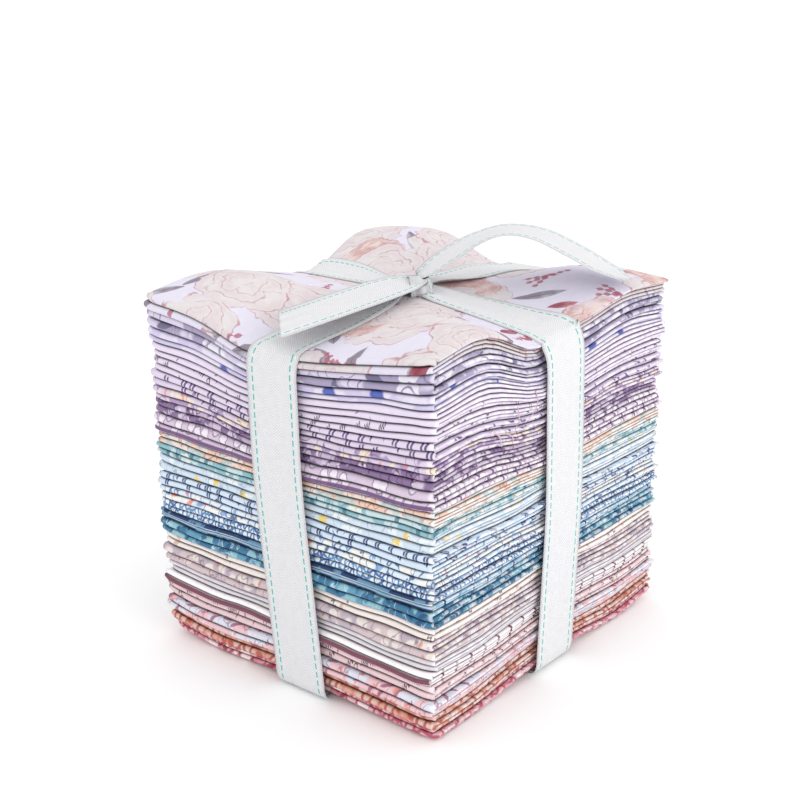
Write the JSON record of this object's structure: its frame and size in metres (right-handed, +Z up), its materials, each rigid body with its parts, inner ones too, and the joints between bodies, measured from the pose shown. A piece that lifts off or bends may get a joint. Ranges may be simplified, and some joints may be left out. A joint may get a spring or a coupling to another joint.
{
  "type": "tied stack of folded fat quarters",
  "caption": "Stack of folded cotton fat quarters in lilac, blue and rose prints, tied crosswise with a white twill ribbon knotted on top",
  "frame": {"origin": "middle of the stack's footprint, on the surface that it stands on", "axes": "+X right along the front face that shows the folds, +Y from the front face to the back, +Z up"},
  "size_m": [0.1473, 0.1693, 0.167],
  "materials": {
    "rose_sprig": "printed plain-weave cotton, matt",
    "peach_floral": "printed plain-weave cotton, matt",
    "pink_sprig": "printed plain-weave cotton, matt",
    "pink_mark": "printed plain-weave cotton, matt",
    "burgundy_stripe": "printed plain-weave cotton, matt",
    "pale_grey": "printed plain-weave cotton, matt",
    "mauve_floral": "printed plain-weave cotton, matt",
    "cream_mark": "printed plain-weave cotton, matt",
    "teal_mottle": "printed plain-weave cotton, matt",
    "navy_stripe": "printed plain-weave cotton, matt",
    "blue_net": "printed plain-weave cotton, matt",
    "blue_scroll": "printed plain-weave cotton, matt",
    "blue_sprig": "printed plain-weave cotton, matt",
    "blue_spot": "printed plain-weave cotton, matt",
    "aqua_floral": "printed plain-weave cotton, matt",
    "peach_bloom": "printed plain-weave cotton, matt",
    "plum_stripe": "printed plain-weave cotton, matt",
    "plum_floral": "printed plain-weave cotton, matt",
    "lilac_scroll": "printed plain-weave cotton, matt",
    "lilac_sprig": "printed plain-weave cotton, matt",
    "lilac_mark": "printed plain-weave cotton, matt",
    "lilac_dot": "printed plain-weave cotton, matt",
    "lilac_blot": "printed plain-weave cotton, matt",
    "lavender_floral": "printed plain-weave cotton, matt",
    "cream_floral": "printed plain-weave cotton, matt",
    "white_twill_ribbon": "white woven twill tape with a teal running stitch along each edge"
  },
  "bodies": {
    "root": {"fat_quarter_01_rose_sprig": "rose_sprig", "fat_quarter_02_peach_floral": "peach_floral", "fat_quarter_03_pink_sprig": "pink_sprig", "fat_quarter_04_pink_mark": "pink_mark", "fat_quarter_05_burgundy_stripe": "burgundy_stripe", "fat_quarter_06_pale_grey": "pale_grey", "fat_quarter_07_mauve_floral": "mauve_floral", "fat_quarter_08_cream_mark": "cream_mark", "fat_quarter_09_teal_mottle": "teal_mottle", "fat_quarter_10_navy_stripe": "navy_stripe", "fat_quarter_11_blue_net": "blue_net", "fat_quarter_12_blue_scroll": "blue_scroll", "fat_quarter_13_blue_sprig": "blue_sprig", "fat_quarter_14_blue_spot": "blue_spot", "fat_quarter_15_aqua_floral": "aqua_floral", "fat_quarter_16_peach_bloom": "peach_bloom", "fat_quarter_17_plum_stripe": "plum_stripe", "fat_quarter_18_plum_floral": "plum_floral", "fat_quarter_19_lilac_scroll": "lilac_scroll", "fat_quarter_20_lilac_sprig": "lilac_sprig", "fat_quarter_21_lilac_mark": "lilac_mark", "fat_quarter_22_lilac_dot": "lilac_dot", "fat_quarter_23_lilac_blot": "lilac_blot", "fat_quarter_24_lavender_floral": "lavender_floral", "fat_quarter_25_cream_floral": "cream_floral", "ribbon": "white_twill_ribbon"}
  },
  "joints": []
}
